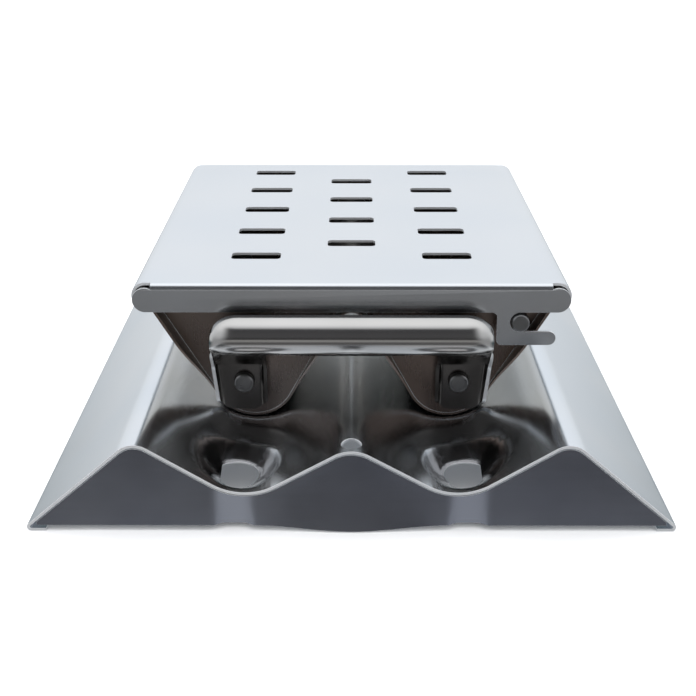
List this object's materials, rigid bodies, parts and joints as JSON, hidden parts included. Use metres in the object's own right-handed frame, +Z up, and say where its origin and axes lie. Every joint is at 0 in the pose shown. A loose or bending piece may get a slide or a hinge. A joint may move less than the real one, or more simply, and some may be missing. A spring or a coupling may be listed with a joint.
{
  "type": "grill smoker box",
  "caption": "Stainless smoker box with two V-shaped troughs, a slotted hinged lid and a riveted front handle, standing on a W-shaped heat plate.",
  "frame": {"origin": "on the floor below the middle of the heat plate", "axes": "+Z up, +X to the right and -Y to the front, where the handle is, +Y along the troughs to the back"},
  "size_m": [0.2186, 0.2754, 0.0704],
  "materials": {
    "plate_steel": "polished stainless sheet with a fine grain along its length",
    "panel_steel": "polished stainless sheet, soft reflections",
    "box_steel": "polished stainless sheet, slightly warm",
    "lid_steel": "satin polished stainless sheet",
    "handle_steel": "polished stainless stamping",
    "rivet_steel": "dull steel rivets"
  },
  "bodies": {
    "heat_plate_body": {"heat_plate": "plate_steel", "heat_plate_front_panel": "panel_steel", "heat_plate_rear_panel": "panel_steel"},
    "smoker_box": {"trough": "box_steel", "front_end_plate": "box_steel", "rear_end_plate": "box_steel", "hinge_pin_front": "rivet_steel", "hinge_pin_rear": "rivet_steel", "handle": "handle_steel", "handle_rivet_left": "rivet_steel", "handle_rivet_right": "rivet_steel"},
    "lid_body": {"lid": "lid_steel"}
  },
  "joints": [
    {"name": "box_lift", "type": "slide", "parent": "heat_plate_body", "child": "smoker_box", "axis": [0, 0, 1], "range_m": [0, 0.06]},
    {"name": "lid_hinge", "type": "hinge", "parent": "smoker_box", "child": "lid_body", "pos_m": [0.0603, 0, 0.0563], "axis": [0, 1, 0], "range_deg": [0, 95]}
  ]
}
